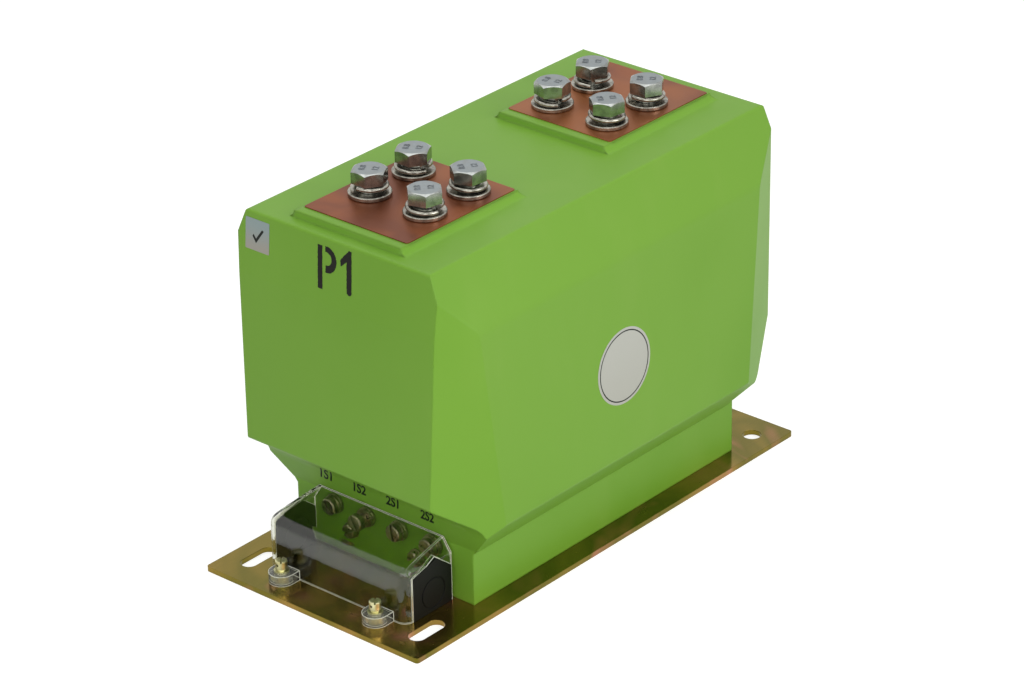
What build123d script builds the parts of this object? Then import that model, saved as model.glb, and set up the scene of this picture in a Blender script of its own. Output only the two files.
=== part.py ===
from build123d import *
import math
import os

# Medium voltage current transformer, cast in resin, on a steel mounting plate.
# Millimetres. The plate lies on z = 0 with its centre at the origin. The primary terminal P1
# and the secondary terminals are at the -X end, P2 is at the +X end.

# Mounting plate
plate_length = 330.0
plate_width = 157.0
plate_thickness = 3.0
plate_corner_radius = 2.0
fixing_pitch = 125.0
rear_hole_diameter = 11.0
rear_hole_from_end = 18.5
front_slot_width = 10.0
front_slot_length = 25.0
front_slot_from_end = 25.5

# Resin body: heights above the plate's underside, how far each level reaches from the body's
# centre towards P1 and P2, and how wide it is
body_offset = 7.5
top_height = 213.3
top_reach_p1 = 140.3
top_reach_p2 = 141.5
top_width = 131.0
shoulder_height = 176.0
shoulder_reach_p1 = 143.3
shoulder_reach_p2 = 143.4
shoulder_width = 161.5
end_belt_height = 77.0
side_belt_height = 57.5
belt_reach_p1 = 146.5
belt_reach_p2 = 148.0
belt_width = 169.5
plinth_height = 34.5
terminal_face_height = 37.0
plinth_width = 130.0
plinth_reach_p1 = 111.0
plinth_reach_p2 = 116.5
cove_knee_reach = 118.6
cove_knee_height = 56.7
cove_radius = 20.0
top_edge_radius = 1.6
shoulder_radius = 14.0
belt_edge_radius = 2.5
rear_ridge_radius = 10.0
belt_lip_band = 8.0
shortest_lip = 15.0

# Flat facets cut across the four upright corners, measured at the plate's underside
facet_angle = 24.3
facet_distance = 119.9
facet_flare = 0.95

# Primary terminals
pad_length = 86.7
pad_width = 74.0
pad_thickness = 15.0
pad_corner_radius = 1.5
pad_proud = 0.4
pad_p1_x = -74.6
pad_p2_x = 91.6
swell_height = 4.0
swell_rim = 0.8
swell_hollow_radius = 6.0
swell_foot_dip = 0.4
bolt_pitch_x = 35.0
bolt_pitch_y = 39.4
bolt_inset = 7.4

# M12 terminal bolts, spring washers and flat washers
bolt_diameter = 12.0
bolt_length = 20.0
head_across_flats = 18.0
head_height = 7.5
flat_washer_outer = 24.0
flat_washer_hole = 13.0
flat_washer_thickness = 2.5
spring_washer_outer = 21.1
spring_washer_hole = 12.4
spring_washer_thickness = 2.5
spring_washer_rise = 2.7
spring_washer_bevel = 0.5
spring_washer_gap_angle = 14.0

# Turn of each bolt head and of each washer's split, as they were left on the sample
head_turns = {"p1": (46.0, 28.0, 28.0, 53.0), "p2": (52.0, 12.0, 35.0, 34.0)}
split_turns = {"p1": (-94.0, -195.0, -96.0, 10.0), "p2": (50.0, -122.0, -146.0, -207.0)}

# Primary conductor and the two cores with their windings
bar_diameter = 36.0
bar_bend_radius = 38.0
bar_height = 104.0
bar_insulation = 8.0
core_thickness = 20.0
core_width = 30.0
winding_thickness = 4.0
winding_edge_bevel = 2.0
core_spacing = 42.0

# Secondary terminals on the front face of the plinth
terminal_pitch = 24.0
terminal_height = 30.3
terminal_thread = 6.0
insert_diameter = 9.0
insert_length = 16.0
terminal_washer_outer = 12.0
terminal_washer_thickness = 1.6
terminal_spring_outer = 11.2
terminal_spring_thickness = 1.6
terminal_spring_split = 1.5
terminal_split_step = 70.0
terminal_head_diameter = 10.0
terminal_head_height = 3.9
terminal_slot_width = 1.6
terminal_slot_depth = 1.8
terminal_screw_reach = 10.0
terminal_slot_turns = (35.0, 62.0, 80.0, 15.0)
loose_turns_out = 4.5
lead_diameter = 3.0
lead_level = 41.0
lead_bend_radius = 5.0
lead_straight = 18.0

# Earthing screws, their inserts and the strips down to the plate
earth_height = 17.5
earth_thread = 5.0
earth_head_diameter = 8.5
earth_head_height = 3.3
earth_washer_outer = 10.0
earth_washer_thickness = 1.2
earth_insert_diameter = 8.0
earth_insert_length = 11.0
earth_screw_reach = 8.0
earth_slot_turns = (-30.0, 10.0)
strip_width = 12.0
strip_thickness = 2.0
strip_foot = 10.0

# Clear cover over the secondary terminals
cover_gap = 2.3
cover_depth = 37.8
cover_half_length = 51.3
cover_rear_height = 37.5
cover_front_height = 33.0
cover_wall = 1.8
cover_front_radius = 7.0
cover_corner_radius = 6.0
cover_end_slope_height = 8.0
cover_end_slope_inset = 5.3
lug_pitch = 69.6
lug_stand_off = 6.2
lug_diameter = 15.0
lug_height = 6.0

# Cable plugs in the two ends of the cover
plug_front_margin = 6.2
plug_rear_margin = 0.9
plug_shoulder_front = 26.5
plug_peak = 31.5
plug_peak_from_rear = 12.5
plug_shoulder_rear = 22.5
plug_thickness = 3.0
plug_clearance = 0.1
knockout_diameter = 19.0
knockout_groove = 1.0
knockout_height = 11.4

# Sealing screws of the cover and the metal sleeves in its lugs
seal_thread = 5.0
seal_head_diameter = 6.8
seal_head_height = 5.0
seal_neck_height = 1.2
seal_collar_diameter = 8.8
seal_collar_height = 1.0
seal_hole_diameter = 1.6
seal_slot_width = 1.0
seal_slot_depth = 1.0
seal_slot_turn = 40.0
sleeve_diameter = 8.0
sleeve_wall = 1.2

# Screws from below the plate into inserts in the plinth
fixing_thread = 8.0
fixing_length = 18.0
fixing_head_diameter = 15.0
fixing_head_depth = 2.8
fixing_insert_diameter = 14.0
fixing_insert_length = 20.0
fixing_spread_x = 160.0
fixing_spread_y = 84.0

# Fits
thread_fit = 0.02
ring_fit = 0.1

# Derived places
plate_top = plate_thickness
plinth_front = body_offset - plinth_reach_p1
plinth_rear = body_offset + plinth_reach_p2
swell_top = top_height + swell_height
pad_top = swell_top + pad_proud
pad_bottom = pad_top - pad_thickness
bar_radius = bar_diameter / 2
winding_inner = bar_radius + bar_insulation
core_inner = winding_inner + winding_thickness
core_outer = core_inner + core_thickness
winding_outer = core_outer + winding_thickness
winding_width = core_width + 2 * winding_thickness
core_centre_x = (pad_p1_x + pad_p2_x) / 2
core_places = (core_centre_x - core_spacing / 2, core_centre_x + core_spacing / 2)
terminal_places = [terminal_pitch * (1.5 - index) for index in range(4)]
cover_rear_x = plinth_front - cover_gap
cover_front_x = cover_rear_x - cover_depth
lug_x = cover_front_x - lug_stand_off
lug_top = plate_top + lug_height
cut_margin = 1.0
same_place = 0.001
far = 2 * (plate_length + plate_width)


def disc(diameter, height, x=0.0, y=0.0, z=0.0):
    """An upright cylinder standing on z."""
    return Pos(x, y, z + height / 2) * Cylinder(diameter / 2, height)


def rod_x(diameter, start, end, y, z):
    """A cylinder along X from start to end."""
    middle = (start + end) / 2
    return Pos(middle, y, z) * Rot(0, 90, 0) * Cylinder(diameter / 2, abs(end - start))


def rod_y(diameter, length, x, z):
    """A cylinder along Y, as long to the left as to the right."""
    return Pos(x, 0, z) * Rot(90, 0, 0) * Cylinder(diameter / 2, length)


def block(x_range, y_range, z_range):
    """A box between two corners."""
    size = [high - low for low, high in (x_range, y_range, z_range)]
    middle = [(high + low) / 2 for low, high in (x_range, y_range, z_range)]
    return Pos(*middle) * Box(*size)


def prism_y(face, half_length):
    """An outline drawn in X and Z, pulled both ways along Y."""
    return extrude(Plane.XZ * face, half_length, both=True)


def bolt_places(pad):
    """Centres of the four bolts of one pad, front left one first, then round the pad."""
    towards_middle = 1 if pad == "p1" else -1
    pad_x = pad_p1_x if pad == "p1" else pad_p2_x
    centre = pad_x + towards_middle * bolt_inset
    signs = ((-1, -1), (-1, 1), (1, 1), (1, -1))
    return [(centre + sx * bolt_pitch_x / 2, sy * bolt_pitch_y / 2) for sx, sy in signs]


def fixing_places():
    """Centres of the screws that hold the body to the plate."""
    middle = (plinth_front + plinth_rear) / 2
    signs = ((-1, -1), (-1, 1), (1, 1), (1, -1))
    return [(middle + sx * fixing_spread_x / 2, sy * fixing_spread_y / 2) for sx, sy in signs]


def lug_places():
    """Centres of the two lugs of the terminal cover."""
    return [(lug_x, sy * lug_pitch / 2) for sy in (-1, 1)]


def fixing_screw(x, y):
    """A countersunk screw whose head is flush with the plate's underside."""
    head = Pos(x, y, fixing_head_depth / 2) * Cone(
        fixing_head_diameter / 2, fixing_thread / 2, fixing_head_depth
    )
    shank = disc(fixing_thread, fixing_length, x, y)
    slot = disc(fixing_thread * 0.6, fixing_head_depth * 0.7, x, y)
    return head + shank - slot


def base_plate():
    outline = RectangleRounded(plate_length, plate_width, plate_corner_radius)
    plate = extrude(outline, plate_thickness)
    deep = plate_thickness + 2 * cut_margin
    for side in (-1, 1):
        y = side * fixing_pitch / 2
        rear_x = plate_length / 2 - rear_hole_from_end
        front_x = -plate_length / 2 + front_slot_from_end
        plate -= disc(rear_hole_diameter, deep, rear_x, y, -cut_margin)
        slot = extrude(SlotOverall(front_slot_length, front_slot_width), deep)
        plate -= Pos(front_x, y, -cut_margin) * slot
    for x, y in fixing_places():
        plate -= Pos(x, y, fixing_head_depth / 2) * Cone(
            fixing_head_diameter / 2, fixing_thread / 2, fixing_head_depth
        )
        plate -= disc(fixing_thread + 2 * thread_fit, deep, x, y, -cut_margin)
    for x, y in lug_places():
        plate -= disc(seal_thread + 2 * thread_fit, deep, x, y, -cut_margin)
    return plate


def side_outline():
    """The body's section across its length, drawn in Y and Z."""
    right = [
        (plinth_width / 2, plate_top),
        (plinth_width / 2, plinth_height),
        (belt_width / 2, side_belt_height),
        (shoulder_width / 2, shoulder_height),
        (top_width / 2, top_height),
    ]
    left = [(-y, z) for y, z in reversed(right)]
    face = make_face(Polyline(*right, *left, close=True))
    shoulders = [v for v in face.vertices() if abs(v.Y - shoulder_height) < same_place]
    return fillet(shoulders, shoulder_radius)


def end_outline():
    """The body's section along its length, drawn in X from the body's centre and Z."""
    points = [
        (-plinth_reach_p1, terminal_face_height),
        (-cove_knee_reach, cove_knee_height),
        (-belt_reach_p1, end_belt_height),
        (-shoulder_reach_p1, shoulder_height),
        (-top_reach_p1, top_height),
        (top_reach_p2, top_height),
        (shoulder_reach_p2, shoulder_height),
        (belt_reach_p2, end_belt_height),
        (plinth_reach_p2, plinth_height),
        (plinth_reach_p2, plate_top),
        (-plinth_reach_p1, plate_top),
    ]
    face = make_face(Polyline(*points, close=True))
    knee = [v for v in face.vertices() if abs(v.Y - cove_knee_height) < same_place]
    return fillet(knee, cove_radius)


def corner_facets():
    """A four-sided prism, slightly wider at the top, whose sides cut the upright corners."""
    angle = math.radians(facet_angle)
    long_point = facet_distance / math.sin(angle)
    short_point = facet_distance / math.cos(angle)
    corners = [(long_point, 0), (0, short_point), (-long_point, 0), (0, -short_point)]
    outline = make_face(Polyline(*corners, close=True))
    return Pos(body_offset, 0, 0) * extrude(outline, top_height, taper=-facet_flare)


def rear_ridges(body):
    """The two ridges at P2 that rise from the plinth's corners to the belt."""
    upper = [edge for edge in body.edges() if edge.center().Z > plinth_height + cut_margin]
    lower_ends = [min((edge @ 0, edge @ 1), key=lambda point: point.Z) for edge in upper]
    return [edge for edge, end in zip(upper, lower_ends) if abs(end.X - plinth_rear) < same_place]


def belt_lips(body):
    """The belt's lower edges, apart from the two at P1 that run into the cove."""
    low = side_belt_height - belt_lip_band
    high = end_belt_height + cut_margin
    lips = [edge for edge in body.edges().sort_by(Axis.X) if low < edge.center().Z < high]
    behind_cove = [edge for edge in lips if edge.center().X > plinth_front]
    return lips[:1] + [edge for edge in behind_cove if edge.length > shortest_lip]


def terminal_swell(pad_x):
    """The raised border of resin round one pad, with a hollow slope down to the body's top."""
    axis_z = top_height - swell_foot_dip + swell_hollow_radius
    run = math.sqrt(swell_hollow_radius**2 - (axis_z - swell_top) ** 2)
    half_x = pad_length / 2 + swell_rim + run
    half_y = pad_width / 2 + swell_rim + run
    low = top_height - cut_margin
    swell = block((pad_x - half_x, pad_x + half_x), (-half_y, half_y), (low, swell_top))
    hollow = 2 * swell_hollow_radius
    for side in (-1, 1):
        swell -= rod_x(hollow, pad_x - 2 * half_x, pad_x + 2 * half_x, side * half_y, axis_z)
        swell -= rod_y(hollow, 4 * half_y, pad_x + side * half_x, axis_z)
    return swell


def resin_body(embedded):
    long_prism = extrude(Plane.YZ * side_outline(), far / 2, both=True)
    end_prism = Pos(body_offset, 0, 0) * prism_y(end_outline(), far / 2)
    body = long_prism & end_prism & corner_facets()
    body = fillet(rear_ridges(body), rear_ridge_radius)
    body = fillet(belt_lips(body), belt_edge_radius)
    body = fillet(body.faces().sort_by(Axis.Z)[-1].edges(), top_edge_radius)
    for pad_x in (pad_p1_x, pad_p2_x):
        body += terminal_swell(pad_x)
    for piece in embedded:
        body -= piece
    return body


def terminal_pad(pad):
    pad_x = pad_p1_x if pad == "p1" else pad_p2_x
    outline = RectangleRounded(pad_length, pad_width, pad_corner_radius)
    plate = Pos(pad_x, 0, pad_bottom) * extrude(outline, pad_thickness)
    for x, y in bolt_places(pad):
        hole = bolt_diameter + 2 * thread_fit
        plate -= disc(hole, pad_thickness + 2 * cut_margin, x, y, pad_bottom - cut_margin)
    return plate


def pad_recess(pad):
    """The pad's room in the resin, with its threaded holes filled."""
    pad_x = pad_p1_x if pad == "p1" else pad_p2_x
    outline = RectangleRounded(pad_length, pad_width, pad_corner_radius)
    return Pos(pad_x, 0, pad_bottom) * extrude(outline, pad_thickness + cut_margin)


def primary_conductor():
    """One round copper bar bent to a U, brazed under both pads and led through the cores."""
    path = FilletPolyline(
        (pad_p1_x, 0, pad_bottom),
        (pad_p1_x, 0, bar_height),
        (pad_p2_x, 0, bar_height),
        (pad_p2_x, 0, pad_bottom),
        radius=bar_bend_radius,
    )
    section = Plane(origin=path @ 0, z_dir=path % 0) * Circle(bar_radius)
    return sweep(section, path=path)


def ring_x(outer, inner, width, x):
    """A ring round the conductor's level run."""
    ring = rod_x(2 * outer, x - width / 2, x + width / 2, 0, bar_height)
    return ring - rod_x(2 * inner, x - width, x + width, 0, bar_height)


def core(place):
    return ring_x(core_outer, core_inner, core_width, place)


def winding_form(place):
    """The outer form of a wound core, its edges broken by the wire."""
    form = ring_x(winding_outer, winding_inner, winding_width, place)
    return chamfer(form.edges().filter_by(GeomType.CIRCLE), winding_edge_bevel)


def secondary_winding(place):
    return winding_form(place) - core(place)


def secondary_lead(core_index, start_y, terminal_y):
    """An insulated wire from the underside of a winding to the back of its terminal insert."""
    core_x = core_places[core_index]
    surface = bar_height - math.sqrt(winding_outer**2 - start_y**2)
    insert_back = plinth_front + insert_length
    path = FilletPolyline(
        (core_x, start_y, surface + winding_thickness / 2),
        (core_x, start_y, lead_level),
        (insert_back + lead_straight, terminal_y, terminal_height),
        (insert_back, terminal_y, terminal_height),
        radius=lead_bend_radius,
    )
    section = Plane(origin=path @ 0, z_dir=path % 0) * Circle(lead_diameter / 2)
    return sweep(section, path=path) - winding_form(core_x)


def terminal_insert(y):
    """A brass bush cast into the plinth, with a blind thread."""
    bush = rod_x(insert_diameter, plinth_front, plinth_front + insert_length, y, terminal_height)
    depth = terminal_screw_reach + cut_margin
    thread = terminal_thread + 2 * thread_fit
    return bush - rod_x(thread, plinth_front - cut_margin, plinth_front + depth, y, terminal_height)


def insert_form(y):
    return rod_x(insert_diameter, plinth_front, plinth_front + insert_length, y, terminal_height)


def ring_on_plinth(outer, hole, z, y, near, thickness):
    """A flat ring on a screw of the plinth's front face, near mm in front of that face."""
    back = plinth_front - near
    front = back - thickness
    return rod_x(outer, front, back, y, z) - rod_x(hole, front - cut_margin, back + cut_margin, y, z)


def terminal_flat_washer(y):
    hole = terminal_thread + 2 * ring_fit
    return ring_on_plinth(
        terminal_washer_outer, hole, terminal_height, y, 0.0, terminal_washer_thickness
    )


def terminal_spring_washer(y, turn):
    hole = terminal_thread + 2 * ring_fit
    ring = ring_on_plinth(
        terminal_spring_outer,
        hole,
        terminal_height,
        y,
        terminal_washer_thickness,
        terminal_spring_thickness,
    )
    split = Box(terminal_spring_outer, terminal_spring_split, terminal_spring_outer)
    middle = Pos(plinth_front - terminal_washer_thickness, y, terminal_height)
    return ring - middle * Rot(turn, 0, 0) * Pos(0, 0, terminal_spring_outer / 2) * split


def cheese_screw(thread, head_diameter, head_height, reach, under_head, y, z, turn):
    """A slotted cheese-head screw along X, its head towards -X."""
    tip = plinth_front + reach
    top = under_head - head_height
    screw = rod_x(thread, under_head, tip, y, z) + rod_x(head_diameter, top, under_head, y, z)
    rim = screw.edges().filter_by(GeomType.CIRCLE).sort_by(Axis.X)[0]
    screw = chamfer(rim, head_height / 6)
    slot = Box(2 * terminal_slot_depth, 2 * head_diameter, terminal_slot_width)
    return screw - Pos(top, y, z) * Rot(turn, 0, 0) * slot


def terminal_screw(index):
    stack = terminal_washer_thickness + terminal_spring_thickness
    out = loose_turns_out if index == 1 else 0.0
    return cheese_screw(
        terminal_thread,
        terminal_head_diameter,
        terminal_head_height,
        terminal_screw_reach - out,
        plinth_front - stack - out,
        terminal_places[index],
        terminal_height,
        terminal_slot_turns[index],
    )


def earth_places():
    """Each earthing screw lies between the two terminals of one core."""
    return [side * terminal_pitch for side in (1, -1)]


def earth_insert_form(y):
    back = plinth_front + earth_insert_length
    return rod_x(earth_insert_diameter, plinth_front, back, y, earth_height)


def earth_insert(y):
    thread = earth_thread + 2 * thread_fit
    depth = plinth_front + earth_screw_reach + cut_margin
    return earth_insert_form(y) - rod_x(thread, plinth_front - cut_margin, depth, y, earth_height)


def earth_strip(y):
    """An angle of copper strip from the back of the insert to the plate."""
    back = plinth_front + earth_insert_length
    wide = (y - strip_width / 2, y + strip_width / 2)
    top = earth_height + earth_insert_diameter / 2
    upright = block((back, back + strip_thickness), wide, (plate_top, top))
    foot = block((back, back + strip_foot), wide, (plate_top, plate_top + strip_thickness))
    return upright + foot


def earth_washer(y):
    hole = earth_thread + 2 * ring_fit
    return ring_on_plinth(earth_washer_outer, hole, earth_height, y, 0.0, earth_washer_thickness)


def earth_screw(y, turn):
    return cheese_screw(
        earth_thread,
        earth_head_diameter,
        earth_head_height,
        earth_screw_reach,
        plinth_front - earth_washer_thickness,
        y,
        earth_height,
        turn,
    )


def hex_bolt(x, y, turn):
    """An M12 hexagon bolt whose head stands on the high end of its spring washer."""
    seat = pad_top + flat_washer_thickness + spring_washer_thickness + spring_washer_rise
    head = extrude(RegularPolygon(head_across_flats / 2, 6, major_radius=False), head_height)
    crown = 0.475 * head_across_flats
    slope = math.tan(math.radians(60.0))
    head &= Pos(0, 0, head_height / 2) * Cone(crown + slope * head_height, crown, head_height)
    shank = disc(bolt_diameter, bolt_length, 0, 0, -bolt_length)
    shank = chamfer(shank.edges().sort_by(Axis.Z)[0], bolt_diameter / 12)
    return Pos(x, y, seat) * Rot(0, 0, turn) * (head + shank)


def flat_washer(x, y):
    ring = disc(flat_washer_outer, flat_washer_thickness)
    ring -= disc(flat_washer_hole, flat_washer_thickness + 2 * cut_margin, 0, 0, -cut_margin)
    rims = ring.edges().filter_by(GeomType.CIRCLE).sort_by(SortBy.RADIUS)[-2:]
    return Pos(x, y, pad_top) * chamfer(rims, flat_washer_thickness / 6)


def spring_washer(x, y, turn):
    """One turn of bar with broken edges, split, its free end lifted above the other."""
    width = (spring_washer_outer - spring_washer_hole) / 2
    mean_radius = (spring_washer_outer + spring_washer_hole) / 4
    share = (360.0 - spring_washer_gap_angle) / 360.0
    pitch = spring_washer_rise / share
    path = Helix(pitch, spring_washer_rise, mean_radius, lefthand=True)
    start = Plane(origin=path @ 0, x_dir=(1, 0, 0), z_dir=path % 0)
    section = Rectangle(width, spring_washer_thickness)
    section = start * chamfer(section.vertices(), spring_washer_bevel)
    bar = sweep(section, path=path, is_frenet=True)
    low = pad_top + flat_washer_thickness + spring_washer_thickness / 2
    return Pos(x, y, low) * Rot(0, 0, turn) * bar


def cover_outline(inset):
    """The cover's section along X, drawn in X and Z. The inner one runs out below and behind."""
    open_run = cut_margin if inset else 0.0
    front = cover_front_x + inset
    rear = cover_rear_x + open_run
    slope = (cover_rear_height - cover_front_height) / cover_depth
    front_top = plate_top + cover_front_height - inset
    rear_top = plate_top + cover_rear_height - inset + slope * open_run
    low = plate_top - open_run
    points = [(front, low), (front, front_top), (rear, rear_top), (rear, low)]
    face = make_face(Polyline(*points, close=True))
    corner = [
        v for v in face.vertices() if abs(v.X - front) < same_place and v.Y > low + cut_margin
    ]
    return fillet(corner, cover_front_radius - inset)


def cover_form(inset):
    """The cover's form, with sloping ends at the top and rounded front corners."""
    half = cover_half_length - inset
    form = prism_y(cover_outline(inset), half)
    corners = form.edges().filter_by(Axis.Z).group_by(Axis.X)[0]
    form = fillet(corners, cover_corner_radius - inset)
    high = plate_top + cover_rear_height + cut_margin
    run = cover_end_slope_inset / cover_end_slope_height
    low = plate_top + cover_rear_height - cover_end_slope_height - inset
    top_y = half - run * (high - low)
    for side in (-1, 1):
        wedge = make_face(
            Polyline(
                (side * half, low),
                (side * (half + cut_margin), low),
                (side * (half + cut_margin), high),
                (side * top_y, high),
                close=True,
            )
        )
        form -= extrude(Plane.YZ * wedge, far / 2, both=True)
    return form


def plug_outline(clearance):
    """The five-sided opening in each end of the cover, drawn in X and Z."""
    front = cover_front_x + plug_front_margin + clearance
    rear = cover_rear_x - plug_rear_margin - clearance
    low = plate_top + (clearance if clearance else -cut_margin)
    points = [
        (front, low),
        (front, plate_top + plug_shoulder_front - clearance),
        (cover_rear_x - plug_peak_from_rear, plate_top + plug_peak - clearance),
        (rear, plate_top + plug_shoulder_rear - clearance),
        (rear, low),
    ]
    return make_face(Polyline(*points, close=True))


def terminal_cover():
    cover = cover_form(0.0) - cover_form(cover_wall)
    cover -= prism_y(plug_outline(0.0), far / 2)
    for x, y in lug_places():
        lug = disc(lug_diameter, lug_height, x, y, plate_top)
        half = lug_diameter / 2
        web = block((x, cover_front_x + cover_wall), (y - half, y + half), (plate_top, lug_top))
        cover += lug + web
    for x, y in lug_places():
        hole = sleeve_diameter + 2 * ring_fit
        cover -= disc(hole, lug_height + 2 * cut_margin, x, y, plate_top - cut_margin)
    return cover


def cable_plug(side):
    """A black plug with a round knock-out for the cable."""
    outer = side * (cover_half_length + plug_thickness / 6)
    inner = outer - side * plug_thickness
    panel = extrude(Plane.XZ * plug_outline(plug_clearance), far / 2, both=True)
    panel &= block((-far, far), (min(outer, inner), max(outer, inner)), (0, far))
    x = (cover_front_x + plug_front_margin + cover_rear_x) / 2
    z = plate_top + knockout_height
    for face_y in (outer, inner):
        groove = Cylinder(knockout_diameter / 2, plug_thickness / 3)
        groove -= Cylinder(knockout_diameter / 2 - knockout_groove, plug_thickness)
        panel -= Pos(x, face_y, z) * Rot(90, 0, 0) * groove
    return panel


def cover_sleeve(x, y):
    sleeve = disc(sleeve_diameter, lug_height, x, y, plate_top)
    hole = sleeve_diameter - 2 * sleeve_wall
    return sleeve - disc(hole, lug_height + 2 * cut_margin, x, y, plate_top - cut_margin)


def cover_screw(x, y):
    """A sealable screw: collar, neck and a tall head with a slot and a cross hole."""
    collar = disc(seal_collar_diameter, seal_collar_height, x, y, lug_top)
    neck_low = lug_top + seal_collar_height
    head_low = neck_low + seal_neck_height
    shank = disc(seal_thread, head_low, x, y)
    head = disc(seal_head_diameter, seal_head_height, x, y, head_low)
    top = head_low + seal_head_height
    rim = head.edges().filter_by(GeomType.CIRCLE).sort_by(Axis.Z)[-1]
    head = chamfer(rim, seal_head_height / 10)
    cross_z = head_low + seal_head_height / 2
    cross = rod_x(seal_hole_diameter, x - seal_head_diameter, x + seal_head_diameter, y, cross_z)
    slot = Pos(x, y, top) * Rot(0, 0, seal_slot_turn) * Box(
        2 * seal_head_diameter, seal_slot_width, 2 * seal_slot_depth
    )
    return collar + shank + head - cross - slot


def fixing_insert(x, y):
    bush = disc(fixing_insert_diameter, fixing_insert_length, x, y, plate_top)
    thread = fixing_thread + 2 * thread_fit
    return bush - disc(thread, fixing_length - plate_top + cut_margin, x, y, plate_top)


def write(name, pieces):
    """One file for one node, which holds one solid or a group of separate ones."""
    solids = pieces if isinstance(pieces, list) else [pieces]
    bodies = [solid for piece in solids for solid in piece.solids()]
    shape = bodies[0] if len(bodies) == 1 else Compound(children=bodies)
    shape.label = name
    export_step(shape, os.path.join("parts", name + ".step"))


def main():
    os.makedirs("parts", exist_ok=True)
    pads = {pad: terminal_pad(pad) for pad in ("p1", "p2")}
    conductor = primary_conductor()
    cores = [core(place) for place in core_places]
    windings = [secondary_winding(place) for place in core_places]
    lead_starts = [share * winding_outer for share in (0.4, 0.1, -0.1, -0.4)]
    leads = [
        secondary_lead(index // 2, start, place)
        for index, (start, place) in enumerate(zip(lead_starts, terminal_places))
    ]
    strips = [earth_strip(y) for y in earth_places()]
    fixing_bushes = [
        disc(fixing_insert_diameter, fixing_insert_length, x, y, plate_top)
        for x, y in fixing_places()
    ]
    embedded = [pad_recess("p1"), pad_recess("p2"), conductor]
    embedded += [winding_form(place) for place in core_places]
    embedded += leads + strips + fixing_bushes
    embedded += [insert_form(y) for y in terminal_places]
    embedded += [earth_insert_form(y) for y in earth_places()]

    write("base_plate", base_plate())
    write("resin_body", resin_body(embedded))
    write("primary_conductor", conductor)
    for number in (1, 2):
        write(f"core_{number}", cores[number - 1])
        write(f"secondary_winding_{number}", windings[number - 1])
    for lead, label in zip(leads, ("1s1", "1s2", "2s1", "2s2")):
        write(f"secondary_lead_{label}", lead)
    for pad in ("p1", "p2"):
        places = bolt_places(pad)
        write(f"{pad}_terminal_pad", pads[pad])
        write(f"{pad}_flat_washers", [flat_washer(x, y) for x, y in places])
        write(
            f"{pad}_spring_washers",
            [spring_washer(x, y, turn) for (x, y), turn in zip(places, split_turns[pad])],
        )
        write(
            f"{pad}_bolts",
            [hex_bolt(x, y, turn) for (x, y), turn in zip(places, head_turns[pad])],
        )
    write("secondary_inserts", [terminal_insert(y) for y in terminal_places])
    write("secondary_flat_washers", [terminal_flat_washer(y) for y in terminal_places])
    write(
        "secondary_spring_washers",
        [
            terminal_spring_washer(y, terminal_split_step * index)
            for index, y in enumerate(terminal_places)
        ],
    )
    write("secondary_screws", [terminal_screw(index) for index in range(4)])
    write("earthing_inserts", [earth_insert(y) for y in earth_places()])
    write("earthing_strips", strips)
    write("earthing_washers", [earth_washer(y) for y in earth_places()])
    write(
        "earthing_screws",
        [earth_screw(y, turn) for y, turn in zip(earth_places(), earth_slot_turns)],
    )
    write("terminal_cover", terminal_cover())
    write("cable_plug_left", cable_plug(1))
    write("cable_plug_right", cable_plug(-1))
    write("cover_sleeves", [cover_sleeve(x, y) for x, y in lug_places()])
    write("cover_screws", [cover_screw(x, y) for x, y in lug_places()])
    write("body_fixing_inserts", [fixing_insert(x, y) for x, y in fixing_places()])
    write("body_fixing_screws", [fixing_screw(x, y) for x, y in fixing_places()])


main()
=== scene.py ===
# %% [markdown]
# A block-type current transformer: a casting of green resin that stands on a steel plate.
# The construction comes ready-made as a frame of solid parts, at real size and in metres.
# This script dresses that frame: it gives every part its finish, winds the spring washers,
# raises the numbers on the bolt heads, lays the printed marks on the casting, and sets up
# the camera and the lights. Nothing in the frame is moved.

# %% Load the frame
import bmesh
import bpy
import math
import random
from mathutils import Matrix, Vector
from mathutils.bvhtree import BVHTree


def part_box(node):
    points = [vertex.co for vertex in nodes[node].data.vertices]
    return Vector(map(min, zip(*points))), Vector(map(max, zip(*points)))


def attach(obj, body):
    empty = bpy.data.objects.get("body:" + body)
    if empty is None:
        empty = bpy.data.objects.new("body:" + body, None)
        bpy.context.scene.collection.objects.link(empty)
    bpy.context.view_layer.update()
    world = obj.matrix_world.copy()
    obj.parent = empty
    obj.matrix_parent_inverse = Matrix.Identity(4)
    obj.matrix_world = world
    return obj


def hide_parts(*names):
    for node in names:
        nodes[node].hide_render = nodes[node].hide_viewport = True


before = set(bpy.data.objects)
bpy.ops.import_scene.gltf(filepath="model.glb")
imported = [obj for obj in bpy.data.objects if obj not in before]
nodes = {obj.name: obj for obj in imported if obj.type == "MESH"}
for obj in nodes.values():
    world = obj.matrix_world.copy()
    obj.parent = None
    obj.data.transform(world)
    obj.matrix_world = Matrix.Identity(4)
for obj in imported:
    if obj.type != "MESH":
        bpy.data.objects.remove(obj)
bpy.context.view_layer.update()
MM = 0.001
print("parts in the frame:", len(nodes))

# %% [markdown]
# The camera repeats the photograph's view. Its angles and its distance were worked out from
# the corners of the plate and the body. A long lens keeps the uprights almost parallel.
# The camera is turned by one degree about its own axis, as a hand-held one is.

# %% Camera
IMAGE_WIDTH = 1024
SENSOR_WIDTH = 36.0
FOCAL_PIXELS = 4001.9
CAMERA_AZIMUTH = math.radians(-48.93)
CAMERA_ELEVATION = math.radians(26.89)
CAMERA_ROLL = math.radians(-1.0)
CAMERA_DISTANCE = 2.2414
CAMERA_TARGET = Vector((0.00687, 0.0, 0.100))
PRINCIPAL_POINT = (0.97, -1.52)


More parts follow.
